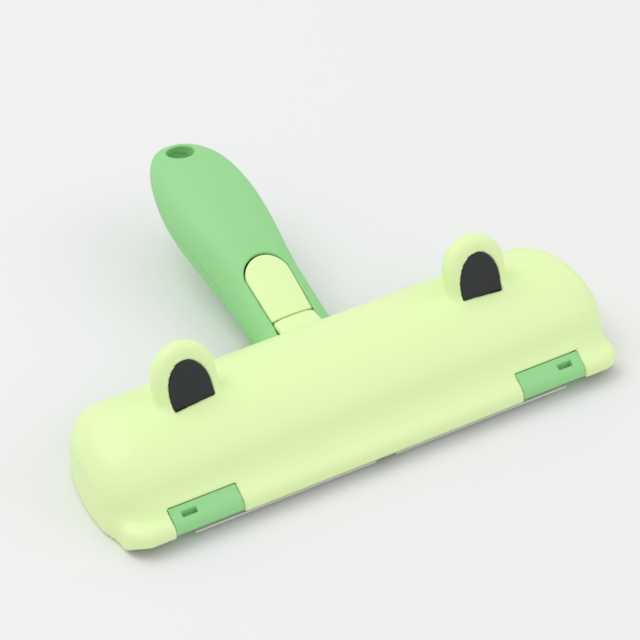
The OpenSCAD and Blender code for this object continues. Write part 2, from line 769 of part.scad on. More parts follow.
// Part of a circle about the axle: round below, flat above
module drum_section(r) {
    translate([0, drum_z]) intersection() {
        circle(r);
        translate([-r - 1, -r - 1]) square([2 * r + 2, r + 1 + core_flat]);
    }
}

module drum_core() {
    hw = drum_w / 2;
    color(WHITE) along_x(-hw, hw) difference() {
        drum_section(core_r);
        intersection() {
            drum_section(core_r - core_wall);
            translate([-core_r, 0]) square([2 * core_r, drum_z + core_flat - core_wall]);
        }
    }
}

module drum_cap() {
    hw = drum_w / 2;
    color(WHITE) {
        along_x(hw + 0.01, hw + cap_t) drum_section(core_r);
        along_x(hw - 3, hw + cap_t - 0.5) intersection() {
            drum_section(core_r - core_wall - seat_gap);
            translate([-core_r, 0]) square([2 * core_r, drum_z + core_flat - core_wall - seat_gap]);
        }
        translate([hw, 0, drum_z]) rotate([0, 90, 0]) cylinder(r = axle_r, h = cheek_x + cheek_t + 0.6 - hw);
    }
}

// Pile strip on the front (side -1) or the rear (side 1) of the lowest line of the drum
module pile(side) {
    hw = drum_w / 2;
    a0 = pile_gap;
    a1 = pile_gap + pile_arc;
    far = 2 * drum_r;
    color(PILE) along_x(-hw, hw) translate([0, drum_z]) intersection() {
        difference() {
            circle(drum_r);
            circle(core_r + 0.01);
        }
        polygon([[0, 0], [side * far * sin(a0), -far * cos(a0)],
            [side * far * sin((a0 + a1) / 2), -far * cos((a0 + a1) / 2)],
            [side * far * sin(a1), -far * cos(a1)]]);
    }
}

// Holes or shanks of the two screws of the right bearing cap
module cap_screw_holes(r, depth) {
    for (side = [-1, 1]) translate([cheek_x + cheek_t / 2, side * cap_screw_y, cheek_top - depth])
        cylinder(r = r, h = depth + bearing_cap_h + 1);
}

module bearing_cap() {
    half = axle_r + run_gap - seat_gap;
    color(GREEN) difference() {
        union() {
            box(cheek_x, cheek_x + cheek_t, -cap_half, cap_half, cheek_top + 0.01, cheek_top + bearing_cap_h);
            box(cheek_x, cheek_x + cheek_t, -half, half, drum_z, cheek_top + 1);
        }
        translate([cheek_x - 1, 0, drum_z]) rotate([0, 90, 0]) cylinder(r = axle_r + run_gap, h = cheek_t + 2);
        cap_screw_holes(cap_screw_r + seat_gap, 2);
    }
}

module bearing_cap_screws() {
    reach = cap_screw_hole - 1;
    color(STEEL) both_sides() for (side = [-1, 1])
        translate([cheek_x + cheek_t / 2, side * cap_screw_y, cheek_top - reach]) {
            cylinder(r = cap_screw_r, h = reach + bearing_cap_h + 0.5);
            translate([0, 0, reach + bearing_cap_h + 0.01]) cylinder(r = 2 * cap_screw_r, h = 1.2);
        }
}

module handle_screws() {
    color(STEEL) for (s = screw_s) {
        handle_column(s, handle_screw_r, -handle_screw_depth - 0.5, 4.5);
        handle_column(s, handle_screw_r + 1.1, -handle_screw_depth - screw_head_t, -handle_screw_depth - 0.01);
    }
}

module neck_screws() {
    color(STEEL) both_sides() translate([neck_screw_x, rear_in, neck_screw_z]) rotate([-90, 0, 0]) {
        translate([0, 0, -0.5]) cylinder(r = handle_screw_r, h = rear_wall_t + neck_boss_l - 1);
        translate([0, 0, -screw_head_t]) cylinder(r = handle_screw_r + 1.1, h = screw_head_t - 0.01);
    }
}

// Right-hand wiper strip between two distances from the centre line, hanging from a height
module strip(y0, y1, top) {
    color(GREY) box(strip_gap / 2, strip_gap / 2 + strip_w, y0, y1, top - strip_t, top - 0.01);
}

module front_strip() {
    strip(-strip_reach, beam_front + beam_d - 1.6, strip_top);
}

module rear_strip() {
    strip(mouth_half + rim_w + rear_strip_gap, rear_out + rear_strip_reach, rim_h);
}

lid();
eye(-1);  // left_eye
eye(1);  // right_eye
base_frame();
handle_base();
handle_cover();
release_button();
button_pin();
button_spring();
mirror([1, 0, 0]) hinge_pin();  // left_hinge_pin
hinge_pin();  // right_hinge_pin
drum_core();
mirror([1, 0, 0]) drum_cap();  // drum_left_cap
drum_cap();  // drum_right_cap
pile(-1);  // front_pile
pile(1);  // rear_pile
mirror([1, 0, 0]) bearing_cap();  // left_bearing_cap
bearing_cap();  // right_bearing_cap
bearing_cap_screws();
handle_screws();
neck_screws();
mirror([1, 0, 0]) front_strip();  // front_left_strip
front_strip();  // front_right_strip
mirror([1, 0, 0]) rear_strip();  // rear_left_strip
rear_strip();  // rear_right_strip
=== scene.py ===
"""Pet hair removal brush: a rocking lint drum in a flat head, under a hinged lid with two ears."""

import json
import math

import bpy
import numpy as np
from mathutils import Matrix


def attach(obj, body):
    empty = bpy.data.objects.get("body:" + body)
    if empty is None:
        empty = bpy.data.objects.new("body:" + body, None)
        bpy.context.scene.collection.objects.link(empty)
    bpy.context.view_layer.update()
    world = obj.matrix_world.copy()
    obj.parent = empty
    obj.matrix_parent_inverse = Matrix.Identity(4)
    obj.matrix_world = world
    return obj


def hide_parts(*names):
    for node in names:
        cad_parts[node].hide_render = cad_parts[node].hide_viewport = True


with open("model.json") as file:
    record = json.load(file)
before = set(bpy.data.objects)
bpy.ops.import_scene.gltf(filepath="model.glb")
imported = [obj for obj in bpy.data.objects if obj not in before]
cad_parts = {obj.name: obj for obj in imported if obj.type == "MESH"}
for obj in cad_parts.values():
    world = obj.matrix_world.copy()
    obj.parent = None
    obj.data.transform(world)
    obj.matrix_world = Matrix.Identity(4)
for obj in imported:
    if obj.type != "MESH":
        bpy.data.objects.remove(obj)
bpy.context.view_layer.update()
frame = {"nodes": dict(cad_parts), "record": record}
scene = bpy.context.scene

# The brush stands on a plain pale table top, in the soft, even light of a bright room and two
# wide lamps. The view is that of the photograph: from the front left and above, through a long
# lens. This section is in metres.
table_half = 4
table_colour = (0.83, 0.83, 0.835, 1)
room_strength = 0.78
lens_focus_px = 3006
picture_width_px = 640
sensor_width_mm = 36
view_turn = math.radians(-29.92)
view_drop = math.radians(40)
view_middle = np.array([-0.008, -0.0025, 0.0445])
view_distance = 1.002

table = bpy.data.meshes.new("table_top")
table_corners = [(table_half * i, table_half * j, 0) for i, j in ((-1, -1), (1, -1), (1, 1), (-1, 1))]
table.from_pydata(table_corners, [], [(0, 1, 2, 3)])
table_top = bpy.data.objects.new("table_top", table)
scene.collection.objects.link(table_top)

table_paint = bpy.data.materials.new("table_paint")
table_paint.use_nodes = True
paint_tree = table_paint.node_tree
paint = paint_tree.nodes["Principled BSDF"]
paint.inputs["Base Color"].default_value = table_colour
paint.inputs["Roughness"].default_value = 0.75
paint.inputs["Specular IOR Level"].default_value = 0.2
mottle = paint_tree.nodes.new("ShaderNodeTexNoise")
mottle.inputs["Scale"].default_value = 900
mottle_bump = paint_tree.nodes.new("ShaderNodeBump")
mottle_bump.inputs["Strength"].default_value = 0.03
mottle_bump.inputs["Distance"].default_value = 0.0004
paint_tree.links.new(mottle.outputs["Fac"], mottle_bump.inputs["Height"])
paint_tree.links.new(mottle_bump.outputs["Normal"], paint.inputs["Normal"])
table.materials.append(table_paint)

room = bpy.data.worlds.new("room")
room.use_nodes = True
room.node_tree.nodes["Background"].inputs["Color"].default_value = (1, 1, 1, 1)
room.node_tree.nodes["Background"].inputs["Strength"].default_value = room_strength
scene.world = room


def aimed(place, ahead):
    """Matrix of a lamp or a camera that looks ahead from its place and is held level."""
    ahead = np.array(ahead, float) / np.linalg.norm(ahead)
    across = np.cross(ahead, (0, 0, 1))
    across /= np.linalg.norm(across)
    above = np.cross(across, ahead)
    rows = [[across[i], above[i], -ahead[i], place[i]] for i in range(3)]
    return Matrix(rows + [[0, 0, 0, 1]])


def lamp(name, place, width, watts):
    """A round soft lamp that shines on the middle of the brush."""
    light = bpy.data.lights.new(name, "AREA")
    light.shape = "DISK"
    light.size = width
    light.energy = watts
    holder = bpy.data.objects.new(name, light)
    scene.collection.objects.link(holder)
    holder.matrix_world = aimed(place, [-v for v in place])


lamp("key_lamp", place=(-0.6, 0.55, 1.45), width=1.3, watts=8)
lamp("fill_lamp", place=(1.2, -0.9, 1.1), width=1.6, watts=4)

view_ahead = np.array([-math.sin(view_turn) * math.cos(view_drop),
                       math.cos(view_turn) * math.cos(view_drop),
                       -math.sin(view_drop)])
camera = bpy.data.cameras.new("camera")
camera.sensor_width = sensor_width_mm
camera.lens = sensor_width_mm * lens_focus_px / picture_width_px
camera.clip_end = 20
camera_holder = bpy.data.objects.new("camera", camera)
scene.collection.objects.link(camera_holder)
camera_holder.matrix_world = aimed(view_middle - view_ahead * view_distance, view_ahead)
scene.camera = camera_holder
scene.view_settings.view_transform = "Standard"

# The frame of the head is one injection moulding in mid green plastic: a bottom plate with the
# mouth of the drum and the rim that the brush stands on, a front beam, two cheeks for the drum's
# axle and the wall behind the lid. From here on sizes are in millimetres.
plate_half, plate_front, plate_back = 93.2, -23.28, 24.1
plate_foot, plate_top = 2, 4
ledge_half, ledge_front, ledge_back = 79, 20, 28.7
rim_half, rim_reach, rim_top = 83.6, 18.6, 3.5
mouth_half, mouth_reach, mouth_cut = 80.6, 15.6, 9
beam_half, beam_front, beam_back = 83, -27.3, -22.3
beam_foot, beam_top = 3.5, 7.4
cheek_inside, cheek_outside, cheek_reach = 80.9, 84.9, 15
cheek_foot, cheek_top = 3, 17.5
axle_z, axle_bore_r = 14.3, 2.55
wall_half, wall_back, wall_t = 82.5, 29.2, 2.4
wall_foot, wall_top = 2, 13
wall_ring_half, wall_ring_r, wall_start = 98.3, 18.8, 15
neck_screw_x, neck_screw_z = 9, 8
screw_hole_r = 1.45


def meet(a, b, r):
    """Solid where both are solid, with its edge rounded to a radius."""
    return np.minimum(-r, np.maximum(a, b)) + np.hypot(np.maximum(r + a, 0), np.maximum(r + b, 0))


def unite(a, b, r):
    """Both solids, with a hollow fillet of a radius between them."""
    return np.maximum(r, np.minimum(a, b)) - np.hypot(np.maximum(r - a, 0), np.maximum(r - b, 0))


def between(v, low, high):
    """Distance outside the stretch between two values."""
    return np.abs(v - (low + high) / 2) - (high - low) / 2


def block(x, y, z, across, along, up, r):
    """Block between two values each way, with its edges rounded to a radius."""
    qx, qy, qz = between(x, *across) + r, between(y, *along) + r, between(z, *up) + r
    outer = np.sqrt(np.maximum(qx, 0) ** 2 + np.maximum(qy, 0) ** 2 + np.maximum(qz, 0) ** 2)
    return outer + np.minimum(np.maximum(qx, np.maximum(qy, qz)), 0) - r


def rounded(a, b, r):
    """Distance from a section that two sides bound, with a round corner between them."""
    qa, qb = a + r, b + r
    return np.hypot(np.maximum(qa, 0), np.maximum(qb, 0)) + np.minimum(np.maximum(qa, qb), 0) - r


def outline(x, y, half, front, back, front_r, back_r):
    """Distance to an outline seen from above, with round corners in front and at the back."""
    r = np.where(y < (front + back) / 2, front_r, back_r)
    return rounded(np.abs(x) - half, between(y, front, back), r)


def smooth(q):
    """Rises from 0 to 1 with a level start and end."""
    c = np.clip(q, 0, 1)
    return c * c * (3 - 2 * c)


def nearer(points, shape, longest):
    """Moves points towards the surface of a shape, each by no more than a longest step."""
    reach, least_slope = 0.02, 0.05
    x, y, z = points.T
    away = shape(x, y, z)
    slope = np.stack([shape(x + reach, y, z) - shape(x - reach, y, z),
                      shape(x, y + reach, z) - shape(x, y - reach, z),
                      shape(x, y, z + reach) - shape(x, y, z - reach)], 1) / (2 * reach)
    move = slope * (away / np.maximum((slope ** 2).sum(1), least_slope))[:, None]
    size = np.linalg.norm(move, axis=1, keepdims=True)
    return points - move * np.minimum(1, longest / np.maximum(size, 1e-9))


def mould(name, shape, low, high, cell, place=None):
    """Skins a shape, given as a distance from its surface, with a fine even mesh."""
    margin = 1.6 * cell
    low = np.array(low, float) - margin
    count = np.ceil((np.array(high, float) + margin - low) / cell).astype(int) + 1
    grid = np.meshgrid(*[low[i] + cell * np.arange(count[i]) for i in range(3)], indexing="ij")
    value = shape(*grid)
    cells = count - 1
    total = np.zeros((int(np.prod(cells)), 3))
    hits = np.zeros(int(np.prod(cells)))
    quads = []
    for axis in range(3):
        b, c = (axis + 1) % 3, (axis + 2) % 3
        near = np.moveaxis(value, (axis, b, c), (0, 1, 2))
        first, second = near[:-1], near[1:]
        i, j, k = np.nonzero((first < 0) != (second < 0))
        keep = (j > 0) & (k > 0) & (j < cells[b]) & (k < cells[c])
        i, j, k = i[keep], j[keep], k[keep]
        v0, v1 = first[i, j, k], second[i, j, k]
        point = np.empty((len(i), 3))
        point[:, axis] = low[axis] + cell * (i + v0 / (v0 - v1))
        point[:, b] = low[b] + cell * j
        point[:, c] = low[c] + cell * k
        ring = []
        for db, dc in ((1, 1), (0, 1), (0, 0), (1, 0)):
            at = np.empty((3, len(i)), int)
            at[axis], at[b], at[c] = i, j - db, k - dc
            flat = np.ravel_multi_index(at, cells)
            for q in range(3):
                total[:, q] += np.bincount(flat, point[:, q], len(total))
            hits += np.bincount(flat, minlength=len(hits))
            ring.append(flat)
        ring = np.stack(ring, 1)
        quads.append(np.where((v0 < 0)[:, None], ring, ring[:, ::-1]))
    used = np.nonzero(hits)[0]
    points = total[used] / hits[used, None]
    number = np.zeros(len(hits), int)
    number[used] = np.arange(len(used))
    quads = number[np.concatenate(quads)]
    for _ in range(4):
        points = nearer(points, shape, 0.6 * cell)
    if place is not None:
        points = place(points)
    mesh = bpy.data.meshes.new(name)
    mesh.from_pydata((points / 1000).tolist(), [], quads.tolist())
    mesh.shade_smooth()
    piece = bpy.data.objects.new(name, mesh)
    scene.collection.objects.link(piece)
    return piece


def fit(piece, finish, body, node):
    """Gives a piece its finish and its place on the brush."""
    piece.data.materials.append(finish)
    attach(piece, body)
    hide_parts(node)


def moulded_plastic(name, colour, shade, rough, grain):
    """Moulded plastic: an even colour with a faint cloudiness, and the fine grain of the mould."""
    finish = bpy.data.materials.new(name)
    finish.use_nodes = True
    tree = finish.node_tree
    shader = tree.nodes["Principled BSDF"]
    place = tree.nodes.new("ShaderNodeTexCoord")
    cloud = tree.nodes.new("ShaderNodeTexNoise")
    cloud.inputs["Scale"].default_value = 28
    cloud.inputs["Detail"].default_value = 3
    tint = tree.nodes.new("ShaderNodeMix")
    tint.data_type = "RGBA"
    tint.inputs["A"].default_value = (*colour, 1)
    tint.inputs["B"].default_value = (*shade, 1)
    gloss = tree.nodes.new("ShaderNodeMapRange")
    gloss.inputs["To Min"].default_value = rough - 0.04
    gloss.inputs["To Max"].default_value = rough + 0.05
    skin = tree.nodes.new("ShaderNodeTexNoise")
    skin.inputs["Scale"].default_value = 2600
    skin.inputs["Detail"].default_value = 2
    bump = tree.nodes.new("ShaderNodeBump")
    bump.inputs["Strength"].default_value = grain
    bump.inputs["Distance"].default_value = 0.00006
    tree.links.new(place.outputs["Object"], cloud.inputs["Vector"])
    tree.links.new(place.outputs["Object"], skin.inputs["Vector"])
    tree.links.new(cloud.outputs["Fac"], tint.inputs["Factor"])
    tree.links.new(tint.outputs["Result"], shader.inputs["Base Color"])
    tree.links.new(cloud.outputs["Fac"], gloss.inputs["Value"])
    tree.links.new(gloss.outputs["Result"], shader.inputs["Roughness"])
    tree.links.new(skin.outputs["Fac"], bump.inputs["Height"])
    tree.links.new(bump.outputs["Normal"], shader.inputs["Normal"])
    return finish


mid_green = moulded_plastic("mid_green_plastic", (0.31, 0.69, 0.28), (0.29, 0.66, 0.26),
                            rough=0.5, grain=0.25)


def base_plate_shape(x, y, z):
    side = np.abs(x)
    plate = outline(x, y, plate_half, plate_front, plate_back, front_r=6, back_r=13.7)
    plate = meet(plate, between(z, plate_foot, plate_top), 0.4)
    ledge = block(x, y, z, (-ledge_half, ledge_half), (ledge_front, ledge_back),
                  (plate_foot, plate_top), r=0.4)
    rim = block(x, y, z, (-rim_half, rim_half), (-rim_reach, rim_reach), (0, rim_top), r=0.6)
    mouth = block(x, y, z, (-mouth_half, mouth_half), (-mouth_reach, mouth_reach),
                  (-mouth_cut, mouth_cut), r=0.8)
    plate = meet(np.minimum(np.minimum(plate, ledge), rim), -mouth, 0.4)
    beam = block(x, y, z, (-beam_half, beam_half), (beam_front, beam_back), (beam_foot, beam_top), r=0.5)
    cheek = block(side, y, z, (cheek_inside, cheek_outside), (-cheek_reach, cheek_reach),
                  (cheek_foot, cheek_top), r=0.5)
    axle_slot = np.minimum(np.hypot(y, z - axle_z) - axle_bore_r,
                           np.maximum(np.abs(y) - axle_bore_r, axle_z - z))
    cheek = meet(cheek, -axle_slot, 0.2)
    ring = outline(x, y, wall_ring_half, -wall_back, wall_back, front_r=1, back_r=wall_ring_r)
    hollow = outline(x, y, wall_ring_half - wall_t, wall_t - wall_back, wall_back - wall_t,
                     front_r=1, back_r=wall_ring_r - wall_t)
    wall = meet(np.maximum(ring, -hollow), between(z, wall_foot, wall_top), 0.6)
    wall = meet(meet(wall, wall_start - y, 0.5), side - wall_half, 0.5)
    wall = meet(wall, screw_hole_r - np.hypot(side - neck_screw_x, z - neck_screw_z), 0.1)
    return np.minimum(np.minimum(plate, beam), np.minimum(cheek, wall))


base_plate = mould("base_plate", base_plate_shape, low=(-94, -28, 0), high=(94, 30, 18), cell=0.75)
fit(base_plate, mid_green, "frame", "base_frame")

# Two tabs of the same green moulding lie flush in the lip of the lid and hold the hinge pins.
# Their front follows the round edge of the lip, and each has a shallow moulded slot.
hinge_y, hinge_z = -31.3, 7.3
hinge_bore_r = 1.04
oval_power = 2.3
dome_half, dome_height, dome_foot = 26.4, 24, 5.5
lip_front, lip_top, lip_r = -34.3, 10, 3.6
lip_fillet = 8
tab_middle, tab_half, tab_reach = 67.2, 12.5, 6.1
tab_sink = 0.15
slot_across, slot_along, slot_up = (70.4, 76), (-31.4, -29.5), (8.2, 14)


def from_hinge(y, z):
    """Distance from the axis that the lid turns on."""
    return np.hypot(y - hinge_y, z - hinge_z)


def dome_section(y, z):
    """Distance from the skin of the dome in section: a full oval, wider than it is high."""
    over = np.maximum(z - dome_foot, 0)
    spread = (np.abs(y) / dome_half) ** oval_power + (over / dome_height) ** oval_power
    spread = spread ** (1 / oval_power)
    slope_y = (np.abs(y) / dome_half) ** (oval_power - 1) / dome_half
    slope_z = (over / dome_height) ** (oval_power - 1) / dome_height
    steep = np.hypot(slope_y, slope_z) / np.maximum(spread, 1e-6) ** (oval_power - 1)
    return (spread - 1) / np.maximum(steep, 1e-3)


def lip_section(y, z):
    """Distance from the lip in section: level on top, with a round front edge."""
    return rounded(lip_front - y, z - lip_top, lip_r)


def hinge_tab_shape(x, y, z):
    side = np.abs(x)
    skin = unite(dome_section(y, z), lip_section(y, z), lip_fillet)
    section = meet(np.maximum(from_hinge(y, z) - tab_reach, skin + tab_sink), dome_foot - z, 0.4)
    tab = meet(section, np.abs(side - tab_middle) - tab_half, 0.35)
    tab = np.maximum(tab, hinge_bore_r - from_hinge(y, z))
    return meet(tab, -block(side, y, z, slot_across, slot_along, slot_up, r=0.2), 0.12)


for name, low, high in (("left_hinge_tab", -80, -54), ("right_hinge_tab", 54, 80)):
    tab = mould(name, hinge_tab_shape, low=(low, -34.5, 5), high=(high, -24, 13), cell=0.3)
    fit(tab, mid_green, "frame", "base_frame")

# The handle is a hollow oval grip of two matte green shells that meet on a gently bent plane. The
# lower one is screwed on the wall of the head, and the upper one is screwed on it from below.
# Stations are measured along the grip from its root.
grip_tilt = math.radians(15)
grip_root_y, grip_root_z = 28, 10.2
grip_length = 97.8
neck_half, belly_gain, root_flare = 14.5, 3, 2.6
slim_station, widest_station, flare_end, flare_length = 20.6, 60.8, 4, 11
neck_height, height_gain, highest_station = 9, 3, 48
neck_depth, depth_gain, deepest_station = 6.9, 8.1, 60
parting_bend_station, parting_fall = 76, 4.7
grip_wall, solid_station = 2, 81.8
hang_station, hang_hole_r = 88.6, 5
screw_stations = (46, 71.6)
screw_post_r, screw_head_hole_r, screw_head_depth = 3.8, 2.8, 9
neck_boss_r, neck_boss_end = 3, 35.6
face_tilt = math.radians(20.2)
face_y, face_z = 30.3, 20.3
button_straight, button_half, button_end_r = 17.4, 8, 8.4
pocket_gap, pocket_end_gap, pocket_depth = 0.35, 0.8, 9
lid_sweep_r = 57.25
wall_clear_y, wall_clear_z = 29.3, 13.1
seat_y = 29.22
nearly_one = 0.9999


def grip_half_width(s):
    flare = root_flare * (np.clip(flare_end - s, 0, flare_length) / flare_length) ** 1.5
    swell = belly_gain * smooth((s - slim_station) / (widest_station - slim_station))
    closing = np.clip((s - widest_station) / (grip_length - widest_station), 0, nearly_one) ** 2.1
    return (neck_half + swell + flare) * np.sqrt(1 - closing)


def grip_height(s):
    swell = height_gain * np.sin(np.pi / 2 * np.clip(s / highest_station, 0, 1))
    closing = np.clip((s - highest_station) / (grip_length - highest_station), 0, nearly_one) ** 1.5
    return (neck_height + swell) * np.sqrt(1 - closing)


def grip_depth(s):
    swell = depth_gain * np.sin(np.pi / 2 * np.clip(s / deepest_station, 0, 1))
    closing = np.clip((s - deepest_station) / (grip_length - deepest_station), 0, nearly_one) ** 2
    return (neck_depth + swell) * np.sqrt(1 - closing)


def from_parting(s, n):
    """Height over the plane on which the shells meet, which bends down at the end."""
    past_bend = np.maximum(s - parting_bend_station, 0) / (grip_length - parting_bend_station)
    return n + parting_fall * past_bend ** 2


def grip(x, s, n):
    """Distance from the skin of the grip, in its own frame."""
    over = from_parting(s, n)
    reach = np.hypot(x, over) + 1e-6

    def radius(station):
        height = np.where(over > 0, grip_height(station), grip_depth(station))
        spread = (np.abs(x) / grip_half_width(station)) ** oval_power
        spread = spread + (np.abs(over) / height) ** oval_power
        return reach / np.maximum(spread, 1e-9) ** (1 / oval_power)

    lean = np.clip((radius(s + 0.1) - radius(s - 0.1)) / 0.2, -8, 8)
    return np.maximum((reach - radius(s)) / np.sqrt(1 + lean * lean), s - grip_length)


def in_head(x, s, n):
    """From the frame of the grip to that of the head."""
    return (x, grip_root_y + s * math.cos(grip_tilt) - n * math.sin(grip_tilt),
            grip_root_z + s * math.sin(grip_tilt) + n * math.cos(grip_tilt))


def to_head(points):
    return np.stack(in_head(*points.T), 1)


def face_frame(x, y, z):
    """From the frame of the head to that of the button's face: across, along it, and out of it."""
    dy, dz = y - face_y, z - face_z
    return (x, dy * math.cos(face_tilt) + dz * math.sin(face_tilt),
            dz * math.cos(face_tilt) - dy * math.sin(face_tilt))


def button_plan(x, u, gap, end_gap):
    """Distance from the outline of the button: a wedge with a round end."""
    end = button_straight + end_gap - gap
    half = button_half + gap + (button_end_r - button_half) / end * np.clip(u, 0, end)
    return np.where(u < end, np.abs(x) - half, np.hypot(x, u - end) - button_end_r - gap)


def both_shells(x, s, n):
    """Both shells in one: hollow up to the solid end with the hole for a hook."""
    skin = grip(x, s, n)
    solid = np.maximum(skin, -np.maximum(skin + grip_wall, s - solid_station))
    return meet(solid, hang_hole_r - np.hypot(x, s - hang_station), 1.0)


def upper_shell_shape(x, s, n):
    _, y, z = in_head(x, s, n)
    across, along, out = face_frame(x, y, z)
    pocket = np.maximum(button_plan(across, along, pocket_gap, pocket_end_gap), -pocket_depth - out)
    shell = meet(both_shells(x, s, n), -pocket, 0.3)
    shell = meet(shell, -from_parting(s, n), 0.15)
    shell = meet(shell, lid_sweep_r - from_hinge(y, z), 0.3)
    return np.maximum(shell, np.minimum(wall_clear_y - y, wall_clear_z - z))


def lower_shell_shape(x, s, n):
    _, y, z = in_head(x, s, n)
    skin = grip(x, s, n)
    shell = both_shells(x, s, n)
    for station in screw_stations:
        around = np.hypot(x, s - station)
        shell = np.minimum(shell, np.maximum(around - screw_post_r, skin + 1))
        head_hole = np.maximum(around - screw_head_hole_r, n + screw_head_depth)
        hole = np.minimum(around - screw_hole_r, head_hole)
        shell = meet(shell, -hole, 0.2)
    around = np.hypot(np.abs(x) - neck_screw_x, z - neck_screw_z)
    boss = np.maximum(around - neck_boss_r, y - neck_boss_end)
    boss = np.maximum(boss, np.maximum(screw_hole_r - around, skin + 1))
    shell = meet(np.minimum(shell, boss), from_parting(s, n), 0.15)
    return np.maximum(shell, seat_y - y)


upper_shell = mould("handle_upper_shell", upper_shell_shape, low=(-18, -3, -5), high=(18, 98, 13),
                    cell=0.55, place=to_head)
lower_shell = mould("handle_lower_shell", lower_shell_shape, low=(-18, -1, -16), high=(18, 98, 0.3),
                    cell=0.6, place=to_head)
fit(upper_shell, mid_green, "frame", "handle_cover")
fit(lower_shell, mid_green, "frame", "handle_base")

# The push button is a hollow lime rocker in a pocket of the upper shell. Its two lugs turn on a
# pin between posts of the lower shell, and a steel coil spring lifts its round end.
lime = moulded_plastic("lime_plastic", (0.775, 0.95, 0.475), (0.755, 0.93, 0.45),
                       rough=0.42, grain=0.12)
crown_r = 34
button_t, button_skirt_t, button_top_t = 4.2, 1.4, 2.7
pivot_along, pivot_under = 5, 7
lug_middle, lug_t, lug_r, pivot_bore_r = 5.8, 1.6, 2.2, 1.05


def crown(x, out):
    """Height over the gently crowned face of the button and the tongue."""
    return np.hypot(x, out + crown_r) - crown_r


def button_shape(x, y, z):
    across, along, out = face_frame(x, y, z)
    plan = np.maximum(button_plan(across, along, 0, 0), -along)
    body = meet(meet(plan, crown(across, out), 0.5), -button_t - out, 0.3)
    body = np.maximum(body, -np.maximum(plan + button_skirt_t, out + button_top_t))
    from_pivot = np.hypot(along - pivot_along, out + pivot_under)
    arm = np.maximum(np.abs(along - pivot_along) - lug_r, np.maximum(out + 2, -pivot_under - out))
    lug = np.maximum(np.minimum(from_pivot - lug_r, arm), np.abs(np.abs(across) - lug_middle) - lug_t / 2)
    return np.minimum(body, np.maximum(lug, pivot_bore_r - from_pivot))


button = mould("push_button", button_shape, low=(-9, 25, 8), high=(9, 60, 32), cell=0.4)
fit(button, lime, "button", "release_button")

# The lid is one lime moulding: the dome over the drum with its bevelled ends, the lip that hides
# the hinge, the two hollow ears, the knuckles on the hinge pins and the tongue that the push
# button holds.
lid_wall, lid_foot = 1.8, 0.4
bevel_start, bevel_slope, bevel_crease = 84, 0.3, 0.6
end_reach, end_middle, end_front_r, end_back_r, end_round = 97.8, -8, 120, 70, 7.5
corner_side, corner_y, corner_r, corner_round = 77, 5.8, 20.6, 1.2
lip_half, lip_back, lip_corner_r = 95.5, -8, 7.5
lip_hidden_back, lip_hidden_r = 20, 9
fillet_loss, fillet_end, fillet_run = 5, 94, 10
lip_level, lip_fall = 4.6, 4.2
fall_start_y, fall_run_y, fall_start_side, fall_run_side = -33.5, 8, 82, 4
lip_hollow_back, dome_hollow_back = -20, 26
ear_side, ear_y, ear_z = 56.6, 4, 36.9
ear_lean = math.radians(22)
ear_r, ear_t, ear_edge_r, ear_root, ear_fillet = 11.7, 7.5, 3.5, 14, 2.5
eye_roll = math.radians(3.7)
eye_half, eye_arch, eye_arch_start, eye_sill, eye_drop = 7.85, 11.2, -3.3, -7.9, 2
eye_seat, eye_room = 2.95, 9
tongue_half, tongue_flare, tongue_root, tongue_neck, tongue_end = 8, 3.4, 21, 3.5, 30.1
tongue_top, tongue_under = 20.2, 17.3
rear_cut_half, rear_cut_top, rear_cut_front = 80, 8, 20
notch_half, notch_top = 19.5, 14
recess_reach, recess_half = 6.35, 12.7
knuckle_r, knuckle_bore_r, knuckle_offset, knuckle_t = 2.2, 1.05, 14.65, 3.6


def ear_frame(x, y, z):
    """Position in the frame of the nearer ear: across, out of its back, and up."""
    dy, dz = y - ear_y, z - ear_z
    return (np.abs(x) - ear_side, dy * math.cos(ear_lean) - dz * math.sin(ear_lean),
            dy * math.sin(ear_lean) + dz * math.cos(ear_lean))


def eye_plan(across_ear, up_ear):
    """Distance from the outline of an eye: an arch over a straight lower edge, a little rolled."""
    low = up_ear + eye_drop
    across = across_ear * math.cos(eye_roll) - low * math.sin(eye_roll)
    up = across_ear * math.sin(eye_roll) + low * math.cos(eye_roll)
    over = np.maximum(up - eye_arch_start, 0)
    spread = np.hypot(across / eye_half, over / eye_arch)
    steep = np.hypot(across / eye_half ** 2, over / eye_arch ** 2) + 1e-9
    sides = np.where(over > 0, spread * (spread - 1) / steep, np.abs(across) - eye_half)
    return meet(sides, eye_sill - up, 0.5)


def lid_form(x, y, z):
    """Outer form of the lid without its cuts."""
    side = np.abs(x)
    section = dome_section(y, z)
    bevel = (section + bevel_slope * (side - bevel_start)) / math.hypot(1, bevel_slope)
    end_r = np.where(y < end_middle, end_front_r, end_back_r)
    end = side - (end_reach - (y - end_middle) ** 2 / (2 * end_r))
    dome = meet(meet(section, bevel, bevel_crease), end, end_round)
    cx, cy = np.maximum(side - corner_side, 0), np.maximum(y - corner_y, 0)
    corner = np.where((cx > 0) & (cy > 0), np.hypot(cx, cy) - corner_r, -9)
    dome = meet(dome, corner, 0.02 + corner_round * 2 * cx * cy / (cx * cx + cy * cy + 1e-6))
    lip = outline(x, y, lip_half, lip_front, lip_hidden_back, front_r=lip_corner_r,
                  back_r=lip_hidden_r)
    lip = np.maximum(meet(lip, z - lip_top, lip_r), y - lip_back)
    fillet = lip_fillet - fillet_loss * (1 - smooth((fillet_end - side) / fillet_run))
    body = unite(dome, lip, fillet)
    across, out, up = ear_frame(x, y, z)
    ear = rounded(np.hypot(across, np.maximum(up, 0)) - ear_r, np.abs(out) - ear_t / 2, ear_edge_r)
    return unite(body, np.maximum(ear, -ear_root - up), ear_fillet)


